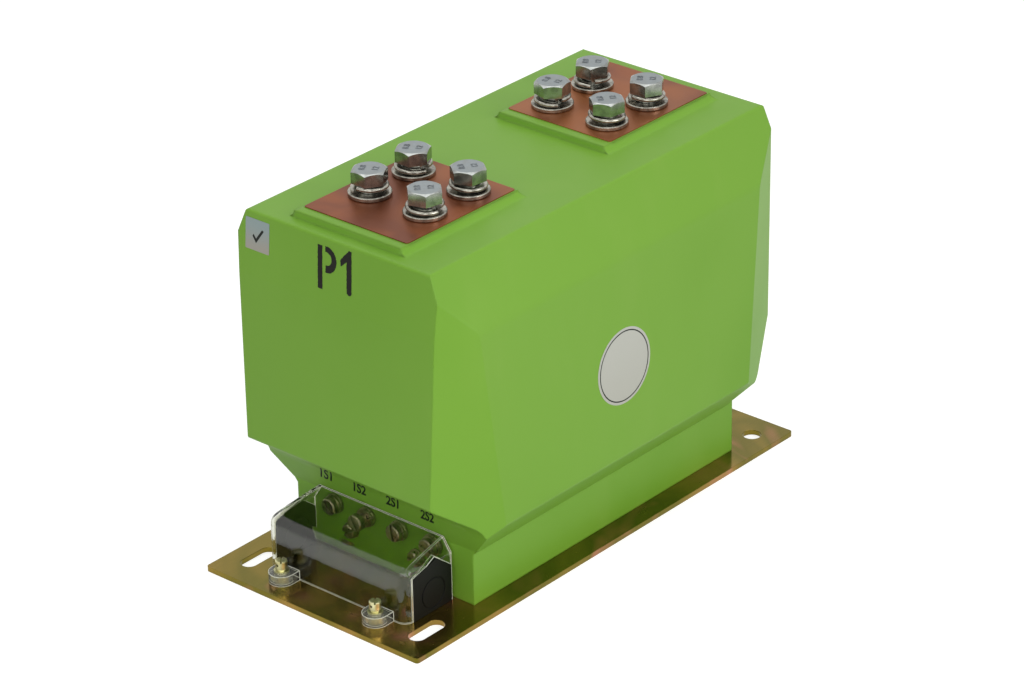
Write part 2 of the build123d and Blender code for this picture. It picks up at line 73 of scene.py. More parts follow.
def camera_axes(azimuth, elevation, roll):
    """The camera's right, up and backward directions."""
    back = Vector((
        math.sin(azimuth) * math.cos(elevation),
        -math.cos(azimuth) * math.cos(elevation),
        math.sin(elevation),
    ))
    right = Vector((math.cos(azimuth), math.sin(azimuth), 0.0))
    up = back.cross(right)
    rolled_right = right * math.cos(roll) + up * math.sin(roll)
    rolled_up = up * math.cos(roll) - right * math.sin(roll)
    return rolled_right, rolled_up, back


def put_in_scene(name, data):
    """An object that holds the data, linked to the scene."""
    holder = bpy.data.objects.new(name, data)
    bpy.context.scene.collection.objects.link(holder)
    return holder


def place_camera():
    right, up, back = camera_axes(CAMERA_AZIMUTH, CAMERA_ELEVATION, CAMERA_ROLL)
    data = bpy.data.cameras.new("camera")
    data.sensor_fit = "HORIZONTAL"
    data.sensor_width = SENSOR_WIDTH
    data.lens = FOCAL_PIXELS * SENSOR_WIDTH / IMAGE_WIDTH
    data.shift_x = -PRINCIPAL_POINT[0] / IMAGE_WIDTH
    data.shift_y = PRINCIPAL_POINT[1] / IMAGE_WIDTH
    camera = put_in_scene("camera", data)
    axes = Matrix((right, up, back)).transposed().to_4x4()
    camera.matrix_world = Matrix.Translation(CAMERA_TARGET + back * CAMERA_DISTANCE) @ axes
    bpy.context.scene.camera = camera
    return camera


camera = place_camera()
print("lens", round(camera.data.lens, 1), "mm")

# %% [markdown]
# Shader maths reads best as plain arithmetic. `Signal` wraps one output socket, and its
# operators add the Math nodes. The reflected forms let a number stand first, as in
# `1 - mask`.

# %% Shader maths


class Signal:
    """One socket's value, with arithmetic."""

    def __init__(self, finish, socket):
        self.finish = finish
        self.socket = socket

    def math(self, operation, *terms):
        inputs = dict(enumerate(terms or [self]))
        return self.finish.node("Math", {"operation": operation}, inputs)

    def __add__(self, other):
        return self.math("ADD", self, other)

    def __radd__(self, other):
        return self.math("ADD", other, self)

    def __sub__(self, other):
        return self.math("SUBTRACT", self, other)

    def __rsub__(self, other):
        return self.math("SUBTRACT", other, self)

    def __mul__(self, other):
        return self.math("MULTIPLY", self, other)

    def __rmul__(self, other):
        return self.math("MULTIPLY", other, self)


print("a signal adds, subtracts and multiplies")

# %% [markdown]
# `Finish` holds one material and adds every node that isn't plain maths: it takes the node's
# type, its settings, and the values or links of its inputs. Settings go first, because some
# of them, such as a Mix node's data type, decide which sockets are in use.

# %% Finishes


def socket_named(sockets, key):
    """A socket by its number, or by its name, where only one of several twins is in use."""
    if isinstance(key, int):
        return sockets[key]
    found = [socket for socket in sockets if socket.name == key and socket.enabled]
    return found[0] if found else sockets[key]


class Finish:
    """A material made of nodes, or a world where one is given to hold them."""

    def __init__(self, name, holder=None):
        self.material = holder or bpy.data.materials.new(name)
        self.material.use_nodes = True
        self.tree = self.material.node_tree
        self.tree.nodes.clear()
        self.place = self.node("TexCoord", output="Object")

    def node(self, kind, settings=None, inputs=None, output=0):
        made = self.tree.nodes.new("ShaderNode" + kind)
        for key, value in (settings or {}).items():
            if key == "stops":
                self.fill_ramp(made.color_ramp, value)
            else:
                setattr(made, key, value)
        for key, value in (inputs or {}).items():
            self.feed(socket_named(made.inputs, key), value)
        return Signal(self, socket_named(made.outputs, output)) if made.outputs else made

    def fill_ramp(self, ramp, stops):
        while len(ramp.elements) < len(stops):
            ramp.elements.new(0.5)
        for element, (position, colour) in zip(ramp.elements, stops):
            element.position = position
            element.color = (*colour, 1.0)

    def feed(self, socket, value):
        if isinstance(value, Signal):
            self.tree.links.new(value.socket, socket)
        elif isinstance(value, tuple) and len(value) == 3 and len(socket.default_value) == 4:
            socket.default_value = (*value, 1.0)
        else:
            socket.default_value = value

    def noise(self, scale, detail=3.0, roughness=0.5, vector=None, distortion=0.0):
        inputs = {
            "Vector": vector or self.place,
            "Scale": scale,
            "Detail": detail,
            "Roughness": roughness,
            "Distortion": distortion,
        }
        return self.node("TexNoise", {}, inputs)

    def stretched(self, scale_x, scale_y, scale_z):
        return self.node("Mapping", {}, {"Vector": self.place, "Scale": (scale_x, scale_y, scale_z)})

    def along(self, axis):
        """One coordinate of the place: X, Y or Z."""
        return self.node("SeparateXYZ", {}, {"Vector": self.place}, output=axis)

    def step(self, value, low, high):
        """0 below low, 1 above high, and a smooth rise between."""
        inputs = {"Value": value, "From Min": low, "From Max": high}
        return self.node("MapRange", {"interpolation_type": "SMOOTHSTEP"}, inputs)

    def blend(self, factor, first, second):
        inputs = {"Factor": factor, "A": first, "B": second}
        return self.node("Mix", {"data_type": "RGBA"}, inputs, output="Result")

    def turned(self, factor, first, second):
        """A blend of two directions."""
        inputs = {"Factor": factor, "A": first, "B": second}
        return self.node("Mix", {"data_type": "VECTOR"}, inputs, output="Result")

    def bump(self, height, distance, strength=1.0, normal=None):
        inputs = {"Height": height, "Distance": distance, "Strength": strength}
        if normal:
            inputs["Normal"] = normal
        return self.node("Bump", {}, inputs)

    def rounded(self, radius, samples=4):
        """The normal of a surface whose edges are rounded off by radius."""
        return self.node("Bevel", {"samples": samples}, {"Radius": radius})

    def edges(self, radius, faint, full):
        """1 at an edge and 0 away from it: how far the rounded normal leaves the flat one."""
        flat = self.node("NewGeometry", output="Normal")
        inputs = {0: self.rounded(radius, samples=8), 1: flat}
        agree = self.node("VectorMath", {"operation": "DOT_PRODUCT"}, inputs, output="Value")
        return self.step(1 - agree, faint, full)

    def surface(self, **inputs):
        named = {key.replace("_", " "): value for key, value in inputs.items()}
        return self.node("BsdfPrincipled", {}, named)

    def close(self, shader):
        self.node("OutputMaterial", {}, {"Surface": shader})
        return self.material


print("every pattern is placed by Object coordinates, in metres")

# %% [markdown]
# Colours are written as they are read off a screen, from 0 to 255. A shader needs the light
# that they stand for, so each channel goes through the screen's own curve.

# %% Colours and dressing


def linear(red, green, blue):
    """A colour as it is read off a screen, turned into the light it stands for."""
    def channel(level):
        share = level / 255.0
        return share / 12.92 if share <= 0.04045 else ((share + 0.055) / 1.055) ** 2.4
    return (channel(red), channel(green), channel(blue))


def dress(names, material):
    """Gives a finish to nodes of the frame."""
    for name in names:
        obj = nodes[name]
        obj.data.materials.clear()
        obj.data.materials.append(material)
    print(material.name, "on", len(names), "parts")


print("mid grey as light:", round(linear(128, 128, 128)[0], 3))

# %% [markdown]
# The casting is filled epoxy resin, coloured through and matt from the mould. Such a surface
# isn't flat: the mould leaves a faint orange peel, and the filler clouds the colour a little.
# One wide noise makes the clouds and a fine one the peel. The edges of a real casting are
# never sharp, so the shading rounds them by about a millimetre. Round each pad a raised border
# runs out into the flat top, in a hollow on three sides and in a plain step on the side that
# looks towards the P1 end. The rounding is wider on these borders, so that their edges look
# soft.

# %% Resin finish
RESIN_GREEN = linear(119, 168, 53)
RESIN_DEEP = linear(110, 160, 43)
RESIN_PALE = linear(125, 170, 61)
RESIN_EDGE_RADIUS = 1.4 * MM
BORDER_RADIUS = 4.0 * MM
BORDER_HEIGHT = 4.0 * MM
BORDER_FOOT = 0.4 * MM
CASTING_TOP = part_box("resin_body")[1].z - BORDER_HEIGHT


def resin_finish():
    resin = Finish("green_cast_resin")
    clouds = resin.noise(scale=7.0, detail=3.0, distortion=0.4)
    flow = resin.noise(scale=1.0, detail=3.0, vector=resin.stretched(30.0, 30.0, 9.0))
    peel = resin.noise(scale=420.0, detail=2.0)
    colour = resin.blend(resin.step(clouds, 0.42, 0.70) * 0.6, RESIN_GREEN, RESIN_DEEP)
    colour = resin.blend(resin.step(flow, 0.46, 0.78) * 0.5, colour, RESIN_PALE)
    height = resin.along("Z") - CASTING_TOP
    border = resin.step(height, -BORDER_FOOT, BORDER_FOOT)
    crisp = resin.rounded(RESIN_EDGE_RADIUS, samples=8)
    soft = resin.rounded(BORDER_RADIUS, samples=16)
    rounded = resin.turned(border, crisp, soft)
    normal = resin.bump(peel, distance=0.06 * MM, strength=0.4, normal=rounded)
    shader = resin.surface(
        Base_Color=colour, Roughness=0.40 + clouds * 0.14, Specular_IOR_Level=0.28, Normal=normal
    )
    return resin.close(shader)


dress(["resin_body"], resin_finish())

# %% [markdown]
# The plate is zinc plated and yellow chromated. The chromate film is so thin that it shows
# colours of its own: olive and straw over most of the sheet, with pink and green patches.
# Under the film the zinc is bright, so the plate mirrors the casting and the cover darkly.
# A wide noise goes through a colour ramp for the patches, and a noise that is stretched
# along the sheet gives the rolled steel's grain.

# %% Chromated steel finish
PLATE_STOPS = (
    (0.30, linear(196, 132, 108)),
    (0.40, linear(156, 124, 60)),
    (0.50, linear(134, 115, 44)),
    (0.60, linear(112, 103, 32)),
    (0.70, linear(180, 122, 94)),
)
PLATE_GRAIN = linear(104, 90, 38)


def plate_finish():
    plate = Finish("yellow_chromated_steel")
    patches = plate.noise(scale=13.0, detail=2.5, distortion=1.2)
    grain = plate.noise(scale=1.0, detail=4.0, vector=plate.stretched(40.0, 1400.0, 1400.0))
    smudges = plate.noise(scale=90.0, detail=4.0, roughness=0.65)
    colour = plate.node("ValToRGB", {"stops": PLATE_STOPS}, {"Fac": patches})
    colour = plate.blend(plate.step(grain, 0.45, 0.75) * 0.22, colour, PLATE_GRAIN)
    normal = plate.bump(grain, distance=0.01 * MM, strength=0.3, normal=plate.rounded(0.5 * MM))
    roughness = 0.16 + plate.step(smudges, 0.40, 0.72) * 0.12
    shader = plate.surface(Base_Color=colour, Metallic=0.92, Roughness=roughness, Normal=normal)
    return plate.close(shader)


dress(["base_plate"], plate_finish())

# %% [markdown]
# The terminal pads are copper that was ground flat and has browned since. The brown film is
# thin and patchy, so the metal's shine comes through more in some places than in others, and
# only a trace of the grinding is left, running along the pad's width.

# %% Copper finishes
COPPER_BROWN = linear(136, 74, 38)
COPPER_WARM = linear(156, 95, 51)
COPPER_DARK = linear(112, 57, 29)


def pad_finish():
    pad = Finish("browned_copper")
    stains = pad.noise(scale=24.0, detail=2.5, distortion=0.6)
    shine = pad.noise(scale=11.0, detail=2.0)
    scratches = pad.noise(scale=1.0, detail=4.0, vector=pad.stretched(700.0, 20.0, 60.0))
    colour = pad.blend(pad.step(stains, 0.38, 0.66), COPPER_DARK, COPPER_BROWN)
    colour = pad.blend(pad.step(shine, 0.46, 0.66) * 0.8, colour, COPPER_WARM)
    normal = pad.bump(scratches, distance=0.012 * MM, strength=0.5, normal=pad.rounded(0.4 * MM))
    shader = pad.surface(
        Base_Color=colour, Metallic=0.75, Roughness=0.30 + stains * 0.20, Normal=normal
    )
    return pad.close(shader)


def bright_copper_finish():
    """Bar and strip inside the casting, which the resin keeps from browning."""
    bar = Finish("drawn_copper")
    drawn = bar.noise(scale=1.0, detail=3.0, vector=bar.stretched(60.0, 700.0, 700.0))
    colour = bar.blend(drawn, linear(190, 116, 82), linear(206, 134, 98))
    return bar.close(bar.surface(Base_Color=colour, Metallic=1.0, Roughness=0.3 + drawn * 0.1))


dress(["p1_terminal_pad", "p2_terminal_pad"], pad_finish())
dress(["primary_conductor", "earthing_strips"], bright_copper_finish())

# %% [markdown]
# Bolts and washers are zinc plated steel, but not all of it shines alike. The top of a forged
# bolt head is dull, and its blue-grey colour is a painted reflection of the sky above. Its six
# flats are drawn smooth and mirror what is around them, and a washer's bar is bright. One
# function makes all of these: it blends from a face that looks up to one that looks sideways,
# by the surface's own normal.

# %% Zinc finishes
DULL_ROUGHNESS = 0.45


def zinc_finish(name, light, dark, roughness, top=None):
    """Plated steel in two greys. With a top colour, what faces up is dull and takes that colour, as a
    painted reflection of the sky.
    """
    zinc = Finish(name)
    clouds = zinc.noise(scale=240.0, detail=3.0, roughness=0.6)
    pits = zinc.noise(scale=1900.0, detail=2.0)
    colour = zinc.blend(zinc.step(clouds, 0.36, 0.68), light, dark)
    dulled = roughness + clouds * 0.10
    if top:
        facing = zinc.node("NewGeometry", output="Normal")
        height = zinc.node("SeparateXYZ", {}, {"Vector": facing}, output="Z")
        upward = zinc.step(height, 0.80, 0.97)
        # What faces up takes the top colour: a painted reflection of the sky above.
        colour = zinc.blend(upward, colour, zinc.blend(clouds, top, dark))
        dulled = dulled + upward * (DULL_ROUGHNESS - roughness)
    edge = zinc.rounded(0.25 * MM)
    normal = zinc.bump(pits + clouds * 0.5, distance=0.02 * MM, strength=0.4, normal=edge)
    shader = zinc.surface(Base_Color=colour, Metallic=0.95, Roughness=dulled, Normal=normal)
    return zinc.close(shader)


# The last colour is the heads' top: a painted reflection of the sky.
bolt_zinc = zinc_finish(
    "zinc_on_bolts", linear(166, 168, 162), linear(134, 136, 132), 0.12, linear(144, 153, 158)
)
# The numbers' zinc is darker than the heads': painted shade round the raised figures.
number_zinc_painted_shade = zinc_finish("zinc_on_numbers", linear(122, 128, 132), linear(96, 101, 105), 0.4)
washer_zinc = zinc_finish("zinc_on_washers", linear(172, 169, 158), linear(122, 119, 110), 0.20)
screw_zinc = zinc_finish("zinc_on_screws", linear(176, 168, 150), linear(140, 132, 116), 0.24)
yellow_zinc = zinc_finish("yellow_zinc", linear(222, 219, 174), linear(186, 180, 132), 0.24)
brass = zinc_finish("turned_brass", linear(206, 178, 110), linear(176, 146, 84), 0.26)
core_strip = zinc_finish("core_strip", linear(140, 144, 150), linear(110, 114, 122), 0.34)

dress(["p1_bolts", "p2_bolts"], bolt_zinc)
dress(["p1_flat_washers", "p2_flat_washers"], washer_zinc)
dress(["p1_spring_washers", "p2_spring_washers"], washer_zinc)
dress(["secondary_screws", "secondary_flat_washers", "secondary_spring_washers"], screw_zinc)
dress(["earthing_screws", "earthing_washers", "body_fixing_screws"], screw_zinc)
dress(["cover_screws", "cover_sleeves"], yellow_zinc)
dress(["secondary_inserts", "earthing_inserts", "body_fixing_inserts"], brass)
dress(["core_1", "core_2"], core_strip)

# %% [markdown]
# The windings and their leads lie inside the casting. The wire runs round the core's section,
# so its ridges follow each other round the ring. The angle about the ring's axis, times the
# number of turns, gives a wave that rises once for each turn of wire. The colour follows the
# wave: painted shade in the grooves between turns and a painted highlight on the ridges.

# %% Winding and lead finishes
WIRE_TURNS = 120
ring_low, ring_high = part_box("secondary_winding_1")
RING_HEIGHT = (ring_low.z + ring_high.z) / 2


def winding_finish():
    winding = Finish("enamelled_winding")
    across = winding.along("Y")
    above = winding.along("Z") - RING_HEIGHT
    angle = across.math("ARCTAN2", across, above)
    wave = angle.math("SINE", angle * WIRE_TURNS) * 0.5 + 0.5
    # Darker in the grooves and lighter on the ridges: painted shade and highlight along the wave.
    colour = winding.blend(wave, linear(120, 58, 30), linear(166, 88, 48))
    shader = winding.surface(
        Base_Color=colour, Roughness=0.35, Coat_Weight=0.4, Normal=winding.bump(wave, distance=0.4 * MM)
    )
    return winding.close(shader)


def insulation_finish():
    sleeve = Finish("lead_insulation")
    matt = sleeve.noise(scale=600.0)
    colour = sleeve.blend(matt, linear(24, 24, 26), linear(40, 40, 42))
    return sleeve.close(sleeve.surface(Base_Color=colour, Roughness=0.5 + matt * 0.1))


dress(["secondary_winding_1", "secondary_winding_2"], winding_finish())
lead_names = ["secondary_lead_1s1", "secondary_lead_1s2", "secondary_lead_2s1", "secondary_lead_2s2"]
dress(lead_names, insulation_finish())

# %% [markdown]
# The cover is clear moulded plastic with a smoky tint, and the plugs in its ends are black.
# Clear plastic is glass with a little colour: transmission and the plastic's own index. Its
# edges catch light from the whole wall and glow as thin pale lines, which a path through
# thin walls finds too rarely, so a pale shader that glows is blended in there: a painted
# highlight. The mask for it compares the rounded normal with the flat one, and dust dulls the
# surface in places. The two screw lugs have a faint share of that glow all over, as painted
# light.

# %% Cover finishes
PLASTIC_INDEX = 1.49
COVER_TINT = linear(220, 221, 208)
COVER_EDGE = linear(212, 214, 200)
COVER_EDGE_RADIUS = 0.85 * MM
COVER_EDGE_SHARE = 0.85
LUG_PAINTED_GLOW = 0.08
LUG_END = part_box("cover_sleeves")[1].x
LUG_FADE = 1.0 * MM


def cover_finish():
    cover = Finish("clear_plastic")
    dust = cover.noise(scale=60.0, detail=4.0, roughness=0.65)
    normal = cover.bump(dust, distance=0.15 * MM, strength=0.4, normal=cover.rounded(0.5 * MM))
    clear = cover.surface(
        Base_Color=COVER_TINT,
        Roughness=0.02 + cover.step(dust, 0.5, 0.8) * 0.10,
        IOR=PLASTIC_INDEX,
        Specular_IOR_Level=0.05,
        Transmission_Weight=1.0,
        Normal=normal,
    )
    # This shader glows: a painted highlight on the cover's edges and painted light on the lugs.
    painted_edge_glow = cover.surface(
        Base_Color=COVER_EDGE, Roughness=0.25, Emission_Color=COVER_EDGE, Emission_Strength=0.5
    )
    lit_edge = cover.edges(COVER_EDGE_RADIUS, faint=0.01, full=0.12) * COVER_EDGE_SHARE
    lug = 1 - cover.step(cover.along("X"), LUG_END, LUG_END + LUG_FADE)
    painted_glow_share = lit_edge.math("MAXIMUM", lit_edge, lug * LUG_PAINTED_GLOW)
    both = cover.node("MixShader", {}, {0: painted_glow_share, 1: clear, 2: painted_edge_glow})
    return cover.close(both)


def plug_finish():
    plug = Finish("black_moulded_plastic")
    grain = plug.noise(scale=900.0, detail=2.0)
    colour = plug.blend(grain, linear(7, 8, 6), linear(15, 16, 13))
    normal = plug.bump(grain, distance=0.04 * MM, strength=0.4, normal=plug.rounded(0.4 * MM))
    shader = plug.surface(
        Base_Color=colour, Roughness=0.48 + grain * 0.14, Specular_IOR_Level=0.2, Normal=normal
    )
    return plug.close(shader)


dress(["terminal_cover"], cover_finish())
dress(["cable_plug_left", "cable_plug_right"], plug_finish())

# %% [markdown]
# Four bolts stand on each terminal pad, so what belongs to a bolt is made once and repeated
# at its place. The places come from the frame: each bolt is a loose island of the node's
# mesh, and the islands are told apart once their triangles are merged.

# %% Find the bolts
CORNERS = ((-1, -1), (-1, 1), (1, 1), (1, -1))
WELD = 0.001 * MM


def islands(name):
    """Lowest and highest corner of each separate solid in a node."""
    work = bmesh.new()
    work.from_mesh(nodes[name].data)
    bmesh.ops.remove_doubles(work, verts=work.verts[:], dist=WELD)
    left = set(work.verts)
    boxes = []
    while left:
        reached = {left.pop()}
        fresh = set(reached)
        while fresh:
            fresh = {edge.other_vert(vert) for vert in fresh for edge in vert.link_edges} - reached
            reached |= fresh
        left -= reached
        low = Vector([min(vert.co[axis] for vert in reached) for axis in range(3)])
        high = Vector([max(vert.co[axis] for vert in reached) for axis in range(3)])
        boxes.append((low, high))
    work.free()
    return boxes


def corner_order(boxes):
    """The boxes of four solids, round the pad, from the front right one seen from the P1 end."""
    return [max(boxes, key=lambda box: sx * box[0].x + sy * box[0].y) for sx, sy in CORNERS]


bolt_boxes = {pad: corner_order(islands(pad + "_bolts")) for pad in ("p1", "p2")}
washer_boxes = {pad: corner_order(islands(pad + "_flat_washers")) for pad in ("p1", "p2")}
print("bolts found:", {pad: len(boxes) for pad, boxes in bolt_boxes.items()})

# %% [markdown]
# Geometry Nodes repeat a piece as a recipe: points with a turn each come in, the piece is
# made from sizes, put on every point, made real and given its material. `Recipe` builds such
# a tree with named inputs, and `cook` runs it and keeps the result as a plain mesh, because
# instances and live modifiers don't travel with a model.

# %% Recipes of Geometry Nodes
SOCKET_KINDS = {
    float: "NodeSocketFloat",
    str: "NodeSocketString",
    bpy.types.Material: "NodeSocketMaterial",
}
SHARP_ABOVE = 35.0
print("kinds of input in a recipe:", [kind.__name__ for kind in SOCKET_KINDS])


class Recipe:
    """A tree of Geometry Nodes. Its sizes are the named inputs of the tree."""

    def __init__(self, name, **sizes):
        self.tree = bpy.data.node_groups.new(name, "GeometryNodeTree")
        self.sizes = sizes
        self.identifiers = {}
        face = self.tree.interface
        face.new_socket("Geometry", in_out="INPUT", socket_type="NodeSocketGeometry")
        face.new_socket("Geometry", in_out="OUTPUT", socket_type="NodeSocketGeometry")
        for label, value in sizes.items():
            socket = face.new_socket(label, in_out="INPUT", socket_type=SOCKET_KINDS[type(value)])
            self.identifiers[label] = socket.identifier
        self.entry = self.tree.nodes.new("NodeGroupInput")

    def size(self, label):
        return self.entry.outputs[label]

    def node(self, kind, settings=None, inputs=None, output=0):
        made = self.tree.nodes.new(kind)
        for key, value in (settings or {}).items():
            setattr(made, key, value)
        for key, value in (inputs or {}).items():
            socket = socket_named(made.inputs, key)
            if isinstance(value, bpy.types.NodeSocket):
                self.tree.links.new(value, socket)
            else:
                socket.default_value = value
        return socket_named(made.outputs, output) if made.outputs else made

    def join(self, *meshes):
        joined = self.tree.nodes.new("GeometryNodeJoinGeometry")
        for mesh in meshes:
            self.tree.links.new(mesh, joined.inputs[0])
        return joined.outputs[0]

    def on_points(self, piece):
        """Puts the piece on every point, turned by the point's own angle, and ends the tree."""
        turn = self.node(
            "GeometryNodeInputNamedAttribute", {"data_type": "FLOAT"}, {"Name": "turn"}, "Attribute"
        )
        rotation = self.node("ShaderNodeCombineXYZ", {}, {"Z": turn})
        placed = self.node(
            "GeometryNodeInstanceOnPoints",
            {},
            {"Points": self.size("Geometry"), "Instance": piece, "Rotation": rotation},
        )
        real = self.node("GeometryNodeRealizeInstances", {}, {"Geometry": placed})
        painted = self.node(
            "GeometryNodeSetMaterial", {}, {"Geometry": real, "Material": self.size("Material")}
        )
        self.tree.links.new(painted, self.tree.nodes.new("NodeGroupOutput").inputs["Geometry"])


def points_with_turns(name, places, turns):
    """A mesh of loose points, each with its angle in degrees as an attribute."""
    mesh = bpy.data.meshes.new(name)
    mesh.from_pydata([tuple(place) for place in places], [], [])
    turn = mesh.attributes.new("turn", "FLOAT", "POINT")
    turn.data.foreach_set("value", [math.radians(angle) for angle in turns])
    return mesh


def settled_mesh(holder):
    """A plain mesh of the object as it comes out, with its modifiers or its letters worked out."""
    bpy.context.view_layer.update()
    evaluated = holder.evaluated_get(bpy.context.evaluated_depsgraph_get())
    return bpy.data.meshes.new_from_object(evaluated)


def cook(recipe, name, points):
    """Runs a recipe on points. The result is a plain mesh that rides on the one body."""
    piece = put_in_scene(name, points)
    modifier = piece.modifiers.new(recipe.tree.name, "NODES")
    modifier.node_group = recipe.tree
    for label, value in recipe.sizes.items():
        modifier[recipe.identifiers[label]] = value
    mesh = settled_mesh(piece)
    piece.modifiers.remove(modifier)
    piece.data = mesh
    mesh.name = name
    mesh.shade_smooth()
    mesh.set_sharp_from_angle(angle=math.radians(SHARP_ABOVE))
    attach(piece, "root")
    print(name, "has", len(mesh.polygons), "faces")
    return piece

# %% [markdown]
# A spring washer is one turn of rounded bar, split and sprung open, so that one end stands
# above the other. A spiral gives the path, a filleted rectangle gives the bar's section, and
# the curve's normals are set upright so that the section doesn't roll along the way. Every
# washer's split points its own way, so each point carries an angle.

# %% Spring washers
SPRING_OUTER = 21.1 * MM
SPRING_HOLE = 12.4 * MM
SPRING_THICKNESS = 2.5 * MM
SPRING_RISE = 2.7 * MM
SPRING_GAP = 14.0
SPRING_ROUNDING = SPRING_THICKNESS * 0.46
SPRING_STEPS = 72
ROUNDING_STEPS = 6
SPRING_SPLITS = {"p1": (-94.0, -195.0, -96.0, 10.0), "p2": (50.0, -122.0, -146.0, -207.0)}


def spring_recipe():
    recipe = Recipe(
        "spring_washer",
        **{
            "Mean Radius": (SPRING_OUTER + SPRING_HOLE) / 4,
            "Rise": SPRING_RISE,
            "Turns": (360.0 - SPRING_GAP) / 360.0,
            "Bar Width": (SPRING_OUTER - SPRING_HOLE) / 2,
            "Bar Height": SPRING_THICKNESS,
            "Bar Rounding": SPRING_ROUNDING,
            "Material": washer_zinc,
        },
    )
    path = recipe.node(
        "GeometryNodeCurveSpiral",
        {},
        {
            "Resolution": SPRING_STEPS,
            "Rotations": recipe.size("Turns"),
            "Start Radius": recipe.size("Mean Radius"),
            "End Radius": recipe.size("Mean Radius"),
            "Height": recipe.size("Rise"),
            "Reverse": False,
        },
    )
    upright = recipe.node("GeometryNodeSetCurveNormal", {"mode": "Z_UP"}, {"Curve": path})
    section = recipe.node(
        "GeometryNodeCurvePrimitiveQuadrilateral",
        {},
        {"Width": recipe.size("Bar Width"), "Height": recipe.size("Bar Height")},
    )
    section = recipe.node(
        "GeometryNodeFilletCurve",
        {"mode": "POLY"},
        {"Curve": section, "Count": ROUNDING_STEPS, "Radius": recipe.size("Bar Rounding")},
    )
    bar = recipe.node(
        "GeometryNodeCurveToMesh",
        {},
        {"Curve": upright, "Profile Curve": section, "Fill Caps": True},
    )
    recipe.on_points(bar)
    return recipe


spring = spring_recipe()
for pad, turns in SPRING_SPLITS.items():
    places = [
        Vector(((low.x + high.x) / 2, (low.y + high.y) / 2, high.z + SPRING_THICKNESS / 2))
        for low, high in washer_boxes[pad]
    ]
    washers = cook(spring, pad + "_spring_bars", points_with_turns(pad, places, turns))
    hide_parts(pad + "_spring_washers")

# %% [markdown]
# A bolt of strength class 8.8 carries that number on its head, raised by the die that forged
# it, and here the thread's size stands opposite. The numbers are flat letters, filled and
# pulled up to a low block. Their feet reach a little into the head, so that no gap shows.
# They are darker than the head, as painted shade round the raised figures.

# %% Numbers on the bolt heads
HEAD_TURNS = {"p1": (46.0, 28.0, 28.0, 53.0), "p2": (52.0, 12.0, 35.0, 34.0)}
NUMBER_SINK = 0.1 * MM


def number_recipe():
    recipe = Recipe(
        "head_numbers",
        **{
            "Grade": "8.8",
            "Thread": "12",
            "Number Height": 5.0 * MM,
            "Offset": 3.6 * MM,
            "Rise": 0.34 * MM,
            "Material": number_zinc_painted_shade,
        },
    )
    blocks = []
    for label, side in (("Grade", 1.0), ("Thread", -1.0)):
        letters = recipe.node(
            "GeometryNodeStringToCurves",
            {"align_x": "CENTER", "align_y": "MIDDLE"},
            {"String": recipe.size(label), "Size": recipe.size("Number Height")},
        )
        away = recipe.node(
            "ShaderNodeMath", {"operation": "MULTIPLY"}, {0: recipe.size("Offset"), 1: side}
        )
        place = recipe.node("ShaderNodeCombineXYZ", {}, {"Y": away})
        moved = recipe.node(
            "GeometryNodeTransform", {}, {"Geometry": letters, "Translation": place}
        )
        outline = recipe.node("GeometryNodeRealizeInstances", {}, {"Geometry": moved})
        flat = recipe.node("GeometryNodeFillCurve", {"mode": "NGONS"}, {"Curve": outline})
        raised = recipe.node(
            "GeometryNodeExtrudeMesh",
            {"mode": "FACES"},
            {"Mesh": flat, "Offset Scale": recipe.size("Rise"), "Individual": False},
        )
        foot = recipe.node("GeometryNodeFlipFaces", {}, {"Mesh": flat})
        blocks += [raised, foot]
    solid = recipe.node(
        "GeometryNodeMergeByDistance", {}, {"Geometry": recipe.join(*blocks), "Distance": WELD}
    )
    recipe.on_points(solid)
    return recipe


numbers = number_recipe()
for pad, turns in HEAD_TURNS.items():
    places = [
        Vector(((low.x + high.x) / 2, (low.y + high.y) / 2, high.z - NUMBER_SINK))
        for low, high in bolt_boxes[pad]
    ]
    raised = cook(numbers, pad + "_head_numbers", points_with_turns(pad, places, turns))

# %% [markdown]
# The marks lie on the casting, so their places are found on it: a ray goes from each point
# of a flat mark to the resin, and the point moves to where the ray lands. This way a mark
# follows the hollow above the terminals as a real sticker does.

# %% Find the resin's surface


def surface_of(name):
    mesh = nodes[name].data
    corners = [vertex.co.copy() for vertex in mesh.vertices]
    faces = [tuple(polygon.vertices) for polygon in mesh.polygons]
    return BVHTree.FromPolygons(corners, faces)


resin_surface = surface_of("resin_body")
RAY_START = 0.4


def lay_on_resin(point, direction, lift):
    """The point, moved along direction onto the resin and lifted off it by a little."""
    start = point - direction * RAY_START
    place = resin_surface.ray_cast(start, direction)[0]
    return place - direction.normalized() * lift


print("resin's front at mid height:", lay_on_resin(Vector((0, 0, 0.12)), Vector((1, 0, 0)), 0))

# %% [markdown]
# A mark starts as a flat outline in its own plane, u to the right and v up. Cutting it into
# narrow bands lets it bend, and a thin wall gives it the thickness of paint or film.

# %% Make a flat mark and lay it down
BAND = 1.5 * MM
PAINT_LIFT = 0.03 * MM
PAINT_THICKNESS = 0.05 * MM
P1_FACE = {"right": Vector((0, -1, 0)), "up": Vector((0, 0, 1)), "inwards": Vector((1, 0, 0))}
LONG_FACE = {"right": Vector((1, 0, 0)), "up": Vector((0, 0, 1)), "inwards": Vector((0, 1, 0))}


def band_cuts(work):
    """Cuts level lines through a flat mark, so that it can bend."""
    levels = [vertex.co.y for vertex in work.verts]
    level = min(levels) + BAND
    while level < max(levels):
        everything = work.verts[:] + work.edges[:] + work.faces[:]
        bmesh.ops.bisect_plane(work, geom=everything, plane_co=(0, level, 0), plane_no=(0, 1, 0))
        level += BAND


